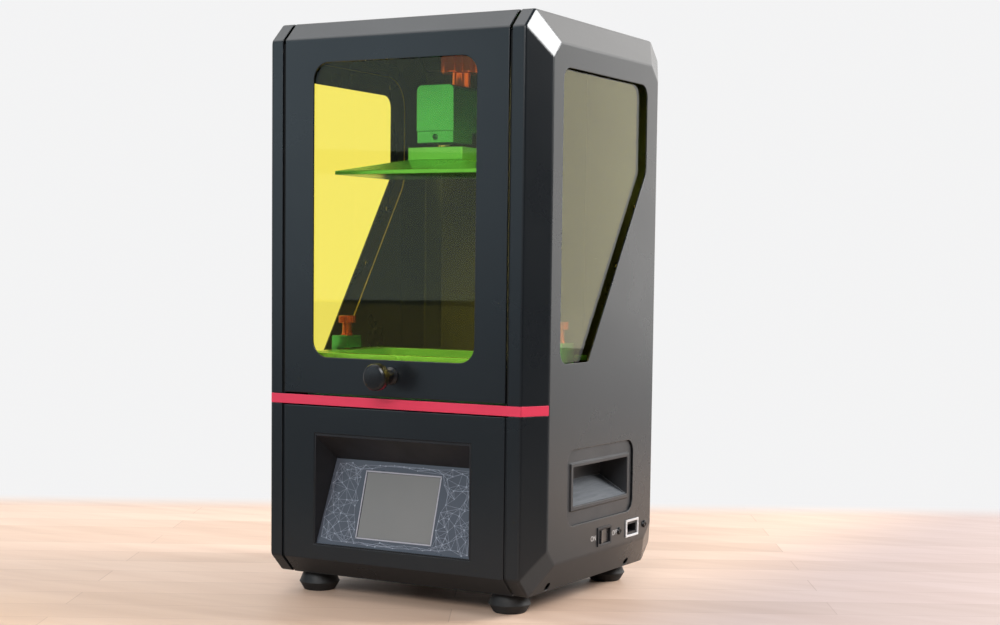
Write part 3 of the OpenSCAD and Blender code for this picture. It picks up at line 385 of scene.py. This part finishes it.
def finished_piece(name, bm, material, body, smooth=35):
    mesh = bpy.data.meshes.new(name)
    bm.to_mesh(mesh)
    bm.free()
    mesh.materials.append(material)
    for face in mesh.polygons:
        face.use_smooth = True
    mesh.set_sharp_from_angle(angle=radians(smooth))
    piece = bpy.data.objects.new(name, mesh)
    scene.collection.objects.link(piece)
    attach(piece, body)
    return piece


def whole_faces(node):
    """The node's shape, with its loose triangles merged into whole faces."""
    bm = bmesh.new()
    bm.from_mesh(frame["nodes"][node].data)
    bmesh.ops.remove_doubles(bm, verts=bm.verts, dist=MERGE_DISTANCE)
    bmesh.ops.dissolve_limit(bm, angle_limit=FLAT_ANGLE, verts=bm.verts, edges=bm.edges)
    return bm


def softened(node, rim, fold=None, segments=2, corners=1000):
    """The node with its edges rounded: rim on square edges and fold on the shallower bends, in mm.

    Hollow-cornered faces with fewer corners than the limit are split first, so that they round cleanly."""
    fold = rim if fold is None else fold
    bm = whole_faces(node)
    bmesh.ops.connect_verts_concave(bm, faces=[face for face in bm.faces if len(face.verts) < corners])
    widest = max(rim, fold)
    weight = bm.edges.layers.float.new("bevel_weight_edge")
    for edge in bm.edges:
        if len(edge.link_faces) != 2:
            continue
        turn = edge.calc_face_angle(0)
        if turn > RIM_ANGLE:
            edge[weight] = rim / widest
        elif turn > FOLD_ANGLE:
            edge[weight] = fold / widest
    piece = finished_piece(node + "_finished", bm, finish_of[node], body_of[node])
    bevel = piece.modifiers.new("rounded_edges", "BEVEL")
    bevel.limit_method = "WEIGHT"
    bevel.width = widest * MM
    bevel.segments = segments
    bevel.use_clamp_overlap = False
    bevel.miter_outer = "MITER_ARC"
    if rim > EVEN_NORMALS_RIM:
        even = piece.modifiers.new("even_normals", "WEIGHTED_NORMAL")
        even.keep_sharp = True
        even.weight = EVEN_NORMALS_WEIGHT
    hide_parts(node)
    return piece


def softened_grip(node):
    """A grip whose upward-facing slope is painted paler, a painted sheen for the light it catches."""
    grip = softened(node, 0.6, 0.4, 3, corners=150)
    grip.data.materials.append(GRIP_SLOPE_PAINTED_SHEEN)
    for face in grip.data.polygons:
        if face.normal.z > SLOPE_UP and abs(face.normal.x) > SLOPE_OUT and face.area > SLOPE_AREA:
            face.material_index = 1


def edged_pane(node, axis):
    """A pane whose sawn edges are matt, while its faces stay clear."""
    bm = whole_faces(node)
    for face in bm.faces:
        face.material_index = 0 if abs(face.normal[axis]) > PANE_FACE else 1
    pane = finished_piece(node + "_edged", bm, finish_of[node], body_of[node], 30)
    pane.data.materials.append(SAWN_EDGE)
    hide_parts(node)


for node in ["left_cover", "right_cover"]:
    softened(node, 0.3, 1.2, 3, corners=16)
for node in ["top_panel", "lower_front_panel", "door_shell"]:
    softened(node, 0.4, 1.2, 3)
softened_grip("left_grip")
softened_grip("right_grip")
softened("accent_band", 0.2, 1.0, 3)
for node in ["platform_head", "vat_body", "vat_brackets", "build_plate"]:
    softened(node, 0.35)
for node in ["switch_housing", "switch_rocker", "usb_frame", "column_cover", "door_jambs", "door_knob",
             "vat_screw_left", "vat_screw_right", "platform_knob", "feet", "z_arm", "port_screws",
             "pane_screws", "guide_rods", "ball_stem"]:
    softened(node, 0.12)
edged_pane("left_window", 0)
edged_pane("right_window", 0)
edged_pane("door_window", 1)

# ---------------------------------------------------------------- screen artwork
FRONT = -89 * MM  # the front face of the body
SCREEN_LOW_Y = FRONT + 1.4 * MM
SCREEN_LOW_Z = 37.4 * MM
SCREEN_RISE = 58.6 * MM
SCREEN_RUN = 17.1 * MM
SCREEN_LEAN = atan2(SCREEN_RUN, SCREEN_RISE)
SCREEN_LENGTH = (SCREEN_RISE * SCREEN_RISE + SCREEN_RUN * SCREEN_RUN) ** 0.5
SCREEN = Matrix((
    (1, 0, 0, 0),
    (0, sin(SCREEN_LEAN), -cos(SCREEN_LEAN), SCREEN_LOW_Y),
    (0, cos(SCREEN_LEAN), sin(SCREEN_LEAN), SCREEN_LOW_Z),
    (0, 0, 0, 1),
))
DISPLAY_HALF_WIDTH = 30.8 * MM
DISPLAY_HALF_HEIGHT = 23.9 * MM
DISPLAY_MIDDLE = SCREEN_LENGTH / 2 - 0.5 * MM
INK_DEPTH = 0.04 * MM
LINE_LEVEL = -0.18 * MM  # how far each print's middle lies from the plane of SCREEN
DOT_LEVEL = -0.175 * MM
BORDER_LEVEL = -0.16 * MM
LINE_WIDTH = 0.17 * MM
DOT_DEPTH = 0.05 * MM
DOT_RADII = (0.3 * MM, 0.42 * MM, 0.54 * MM)
BORDER_WIDTH = 0.9 * MM
BORDER_INSET = 0.5 * MM

# the printed part of the plate, in mm: it narrows towards its upper edge
PRINT_LOW, PRINT_HIGH = 1.6, 59.4
PLATE_HALF_WIDTH = 62.0
PLATE_TAPER = 5.4
PRINT_MARGIN = 1.2
POINTS = 128
POINT_TRIES = 9000
POINT_SPACING = 4.1 * MM
LINE_MARGIN = 0.6 * MM


def strip(bm, start, end, width, level):
    """A thin flat bar from start to end on the screen plate."""
    reach = Vector(end) - Vector(start)
    middle = (Vector(start) + Vector(end)) / 2
    turn = Matrix.Rotation(atan2(reach.y, reach.x), 4, "Z")
    size = Matrix.Diagonal((reach.length, width, INK_DEPTH, 1))
    place = SCREEN @ Matrix.Translation((middle.x, middle.y, level))
    bmesh.ops.create_cube(bm, size=1, matrix=place @ turn @ size)


def crosses_display(a, b, margin):
    steps = 20
    for i in range(steps + 1):
        x = a[0] + (b[0] - a[0]) * i / steps
        y = a[1] + (b[1] - a[1]) * i / steps - DISPLAY_MIDDLE
        if abs(x) < DISPLAY_HALF_WIDTH + margin and abs(y) < DISPLAY_HALF_HEIGHT + margin:
            return True
    return False


def square_distance(a, b):
    return (a[0] - b[0]) ** 2 + (a[1] - b[1]) ** 2


def network_points():
    """Loose points spread over the plate round the display."""
    pick = random.Random(23)
    points = []
    tries = 0
    while len(points) < POINTS and tries < POINT_TRIES:
        tries += 1
        y = pick.uniform(PRINT_LOW, PRINT_HIGH) * MM
        half = (PLATE_HALF_WIDTH - PLATE_TAPER * y / SCREEN_LENGTH - PRINT_MARGIN) * MM
        point = (pick.uniform(-half, half), y)
        if crosses_display(point, point, PRINT_MARGIN * MM):
            continue
        if all(square_distance(point, other) > POINT_SPACING ** 2 for other in points):
            points.append(point)
    return points


def network_pairs(points):
    """Each point reaches its four nearest, and one that lies a little farther off."""
    pairs = set()
    for i, point in enumerate(points):
        near = sorted(range(len(points)), key=lambda j: square_distance(points[j], point))
        farther = 7 + i % 4
        for j in near[1:5] + near[farther:farther + 1]:
            if not crosses_display(point, points[j], LINE_MARGIN):
                pairs.add((min(i, j), max(i, j)))
    return sorted(pairs)


def network_artwork():
    points = network_points()
    lines, dots = bmesh.new(), bmesh.new()
    for i, j in network_pairs(points):
        strip(lines, points[i], points[j], LINE_WIDTH, LINE_LEVEL)
    for k, (x, y) in enumerate(points):
        radius = DOT_RADII[k % len(DOT_RADII)]
        bmesh.ops.create_cone(dots, cap_ends=True, segments=10, radius1=radius, radius2=radius,
                              depth=DOT_DEPTH, matrix=SCREEN @ Matrix.Translation((x, y, DOT_LEVEL)))
    line_ink = flat_ink("network_line_ink", (0.3, 0.33, 0.4))
    dot_ink = flat_ink("network_dot_ink", (0.36, 0.39, 0.46))
    finished_piece("screen_network_lines", lines, line_ink, "cabinet")
    finished_piece("screen_network_dots", dots, dot_ink, "cabinet")


def display_border():
    bm = bmesh.new()
    middle = Vector((0, DISPLAY_MIDDLE))
    half_width, half_height = DISPLAY_HALF_WIDTH - BORDER_INSET, DISPLAY_HALF_HEIGHT - BORDER_INSET
    corners = [middle + Vector((across * half_width, up * half_height))
               for across, up in ((-1, -1), (1, -1), (1, 1), (-1, 1))]
    for corner, following in zip(corners, corners[1:] + corners[:1]):
        overrun = (following - corner).normalized() * BORDER_WIDTH / 2
        strip(bm, corner - overrun, following + overrun, BORDER_WIDTH, BORDER_LEVEL)
    finished_piece("display_border", bm, flat_ink("border_ink", (0.44, 0.43, 0.48)), "cabinet")


network_artwork()
display_border()

# ---------------------------------------------------------------- switch lettering
LETTER_INK = flat_ink("lettering_ink", (0.62, 0.62, 0.62))
WORD_FACE = 110.02 * MM  # just off the right cover's outer face
WORD_RISE = 44.2 * MM
WORD_HEIGHT = 3.6 * MM
TYPE_SIZE = 1.4 * WORD_HEIGHT  # a type size is larger than its capital letters
LETTER_DEPTH = 0.03 * MM


def side_word(name, word, depth):
    """A word on the right side, at a depth behind the front face."""
    letters = bpy.data.curves.new(name, "FONT")
    letters.body = word
    letters.size = TYPE_SIZE
    letters.align_x = "CENTER"
    letters.align_y = "CENTER"
    letters.extrude = LETTER_DEPTH
    shape = bpy.data.objects.new(name + "_curve", letters)
    scene.collection.objects.link(shape)
    bpy.context.view_layer.update()
    mesh = bpy.data.meshes.new_from_object(shape.evaluated_get(bpy.context.evaluated_depsgraph_get()))
    bpy.data.objects.remove(shape)
    place = Matrix(((0, 0, 1, WORD_FACE), (1, 0, 0, FRONT + depth), (0, 1, 0, WORD_RISE), (0, 0, 0, 1)))
    mesh.transform(place)
    mesh.materials.clear()
    mesh.materials.append(LETTER_INK)
    word_piece = bpy.data.objects.new(name, mesh)
    scene.collection.objects.link(word_piece)
    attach(word_piece, "cabinet")


side_word("word_on", "ON", 87.5 * MM)
side_word("word_off", "OFF", 121.0 * MM)

# ---------------------------------------------------------------- room
ROOM_TURN = radians(28.6)
TO_WALL = (-sin(ROOM_TURN), cos(ROOM_TURN), 0)
TO_RIGHT = (1, 0, 0)
HAZE = (0.9, 0.9, 0.905, 1)
CLEAR_HAZE = (1.0, 0.995, 0.98, 1)
WALL_LIGHT = (1.0, 0.99, 0.98, 1)
WALL_START, WALL_END = 0.2, 0.7  # how directly a ray has to head for the wall
DIM_ROOM = (0.14, 0.185, 0.23, 1)
DARK_RIGHT_SIDE = (0.02, 0.025, 0.03, 1)
DARK_START, DARK_END = 0.3, 0.9

# the tabletop: its tones, and where they start and end, as distances from the printer's middle
PLANK = {"Scale": 1.0, "Brick Width": 0.52, "Row Height": 0.043, "Mortar Size": 0.0006, "Mortar Smooth": 1.0,
         "Color1": (1.0, 1.0, 1.0, 1), "Color2": (0.86, 0.83, 0.8, 1), "Mortar": (0.72, 0.66, 0.62, 1)}
UNSHADED = (1, 1, 1, 1)
RIGHT_SHADE = (0.66, 0.7, 0.84, 1)
SHADE_START, SHADE_END = 0.08, 0.24  # to the printer's right
LIT_START, LIT_END = 0.32, 0.46
# past the lit part round the printer, rays other than the camera's see the floor darker: painted shade that
# stands in for the dim floor farther off, darkest just past the lit part and paler far off
NEAR_FLOOR_PAINTED_SHADE = (0.05, 0.045, 0.042, 1)
FAR_FLOOR_PAINTED_SHADE = (0.25, 0.28, 0.31, 1)
FLOOR_PAINTED_SHADE_START, FLOOR_PAINTED_SHADE_END = 1.8, 4.0
FADE_START, FADE_END = 0.25, 1.5
BEHIND_START, BEHIND_END = 0.05, 0.5  # towards the wall, as a share of the distance
EDGE_START, EDGE_END = 0.37, 0.47  # towards the wall
FLOOR_REACH = 8
MIRROR_LOSS = 0.6  # the share of the lit part's colour that reflections lose


def plank_tones(wood):
    """The tones of long planks that run along the wall."""
    planks = wood.new("TexBrick")
    for socket, value in PLANK.items():
        planks.inputs[socket].default_value = value
    turned = wood.new("Mapping")
    turned.inputs["Rotation"].default_value = (0, 0, -ROOM_TURN)
    wood.links.new(wood.place, turned.inputs["Vector"])
    wood.links.new(turned.outputs["Vector"], planks.inputs["Vector"])
    return planks.outputs["Color"]


def length_of(wood, vector):
    length = wood.new("VectorMath")
    length.operation = "LENGTH"
    wood.links.new(vector, length.inputs[0])
    return length.outputs["Value"]


def tabletop_wood():
    """Pale planks, with haze past the table's far edge.

    Reflections see the floor farther off in painted shade instead, and through the panes the planks fade
    into haze."""
    wood = Recipe("tabletop_wood", (0.86, 0.6, 0.45), 0.5)
    wood.mottle(5, (0.96, 0.7, 0.54), 1.0, (1, 9, 1)).handling(3, 0.45, 0.55)
    colour = wood.shader.inputs["Base Color"]
    boards = wood.blend(1.0, colour.links[0].from_socket, plank_tones(wood), "MULTIPLY")
    seen, mirrored = wood.ray("Is Camera Ray"), wood.ray("Is Glossy Ray")
    distance = length_of(wood, wood.place)
    depth = wood.along(wood.place, TO_WALL)
    behind = wood.slope(wood.maths("DIVIDE", depth, distance), BEHIND_START, BEHIND_END)

    to_right = wood.slope(wood.along(wood.place, TO_RIGHT), SHADE_START, SHADE_END)
    shade = wood.blend(wood.maths("MULTIPLY", to_right, seen), UNSHADED, RIGHT_SHADE)
    table = wood.blend(1.0, boards, shade, "MULTIPLY")
    # painted shade: the floor's colour for rays other than the camera's, past the lit part
    painted_floor_shade = wood.blend(wood.slope(distance, FLOOR_PAINTED_SHADE_START, FLOOR_PAINTED_SHADE_END), NEAR_FLOOR_PAINTED_SHADE, FAR_FLOOR_PAINTED_SHADE)
    near = wood.maths("SUBTRACT", 1.0, wood.slope(distance, LIT_START, LIT_END))
    kept = wood.maths("SUBTRACT", 1.0, wood.maths("MULTIPLY", mirrored, MIRROR_LOSS))
    near = wood.maths("MULTIPLY", near, kept)
    lightness = wood.maths("MAXIMUM", wood.maths("MAXIMUM", near, behind), seen)
    wood.links.new(wood.blend(lightness, painted_floor_shade, table), colour)

    mirrored_behind = wood.maths("MULTIPLY", mirrored, behind)
    indirect = wood.maths("MAXIMUM", wood.ray("Is Transmission Ray"), mirrored_behind)
    faded = wood.maths("MULTIPLY", wood.slope(distance, FADE_START, FADE_END), indirect)
    past_edge = wood.maths("MULTIPLY", wood.slope(depth, EDGE_START, EDGE_END), seen)
    haze = wood.new("Emission")
    haze.inputs["Color"].default_value = HAZE
    hazy = wood.maths("MAXIMUM", faded, past_edge)
    wood.links.new(wood.choose(hazy, wood.shader.outputs["BSDF"], haze.outputs["Emission"]), wood.surface)
    return wood.material


def pale_floor():
    bm = bmesh.new()
    bmesh.ops.create_grid(bm, x_segments=1, y_segments=1, size=FLOOR_REACH)
    mesh = bpy.data.meshes.new("floor")
    bm.to_mesh(mesh)
    bm.free()
    mesh.materials.append(tabletop_wood())
    floor = bpy.data.objects.new("floor", mesh)
    scene.collection.objects.link(floor)


def glow(air, background, colour):
    air.feed(background.inputs["Color"], colour)
    background.inputs["Strength"].default_value = 1.0
    return background.outputs["Background"]


def room_light():
    """A bright wall behind the printer and a dim room in front of it."""
    world = bpy.data.worlds.new("room")
    scene.world = world
    world.use_nodes = True
    air = Wiring(world.node_tree)
    direction = air.new("TexCoord").outputs["Generated"]
    wall = air.slope(air.along(direction, TO_WALL), WALL_START, WALL_END)
    right_side = air.slope(air.along(direction, TO_RIGHT), DARK_START, DARK_END)
    dim = air.blend(right_side, DIM_ROOM, DARK_RIGHT_SIDE)
    lit = glow(air, air.nodes["Background"], air.blend(wall, dim, WALL_LIGHT))
    seen = glow(air, air.new("Background"), HAZE)
    through_panes = glow(air, air.new("Background"), air.blend(wall, dim, CLEAR_HAZE))
    plain = air.choose(air.ray("Is Camera Ray"), lit, seen)
    room = air.choose(air.ray("Is Transmission Ray"), plain, through_panes)
    air.links.new(room, air.nodes["World Output"].inputs["Surface"])


# ---------------------------------------------------------------- lamps
PRINTER_MIDDLE = (0, 0, 0.2)
SASH_X, SASH_Y, SASH_WIDTH = -1.65, -1.9, 1.5
SASH_POWER = 4.7  # for each metre of height
SASH_COLOUR = (0.74, 0.91, 1.0)


def softbox(name, place, target, width, height, power, colour=(1, 1, 1), through_panes=True):
    lamp = bpy.data.lights.new(name, "AREA")
    lamp.shape = "RECTANGLE"
    lamp.size, lamp.size_y = width, height
    lamp.energy = power
    lamp.color = colour
    rig = bpy.data.objects.new(name, lamp)
    rig.visible_camera = False
    rig.visible_transmission = through_panes
    aim = (Vector(target) - Vector(place)).to_track_quat("-Z", "Y")
    rig.matrix_world = Matrix.Translation(place) @ aim.to_matrix().to_4x4()
    scene.collection.objects.link(rig)


def sash_light(name, low, high):
    """One sash of the window that the door's pane mirrors."""
    middle = (low + high) / 2
    softbox(name, (SASH_X, SASH_Y, middle), (0, 0, middle), SASH_WIDTH, high - low,
            SASH_POWER * (high - low), SASH_COLOUR)


pale_floor()
room_light()
softbox("right_window_light", (1.85, 1.33, 1.485), (0.1, -0.07, 0.38), 1.1, 1.1, 72, through_panes=False)
softbox("back_window_light", (0.66, 2.6, 1.1), (0.1, 0, 1.1), 1.7, 2.1, 13.6, (1, 0.965, 0.92))
sash_light("low_sash_light", 0.16, 0.42)
sash_light("mid_sash_light", 0.47, 1.75)
softbox("ceiling_light", (-0.84, -0.45, 1.85), PRINTER_MIDDLE, 1.5, 1.5, 15)
softbox("front_light", (0.55, -2.0, 1.3), PRINTER_MIDDLE, 1.2, 0.8, 26)
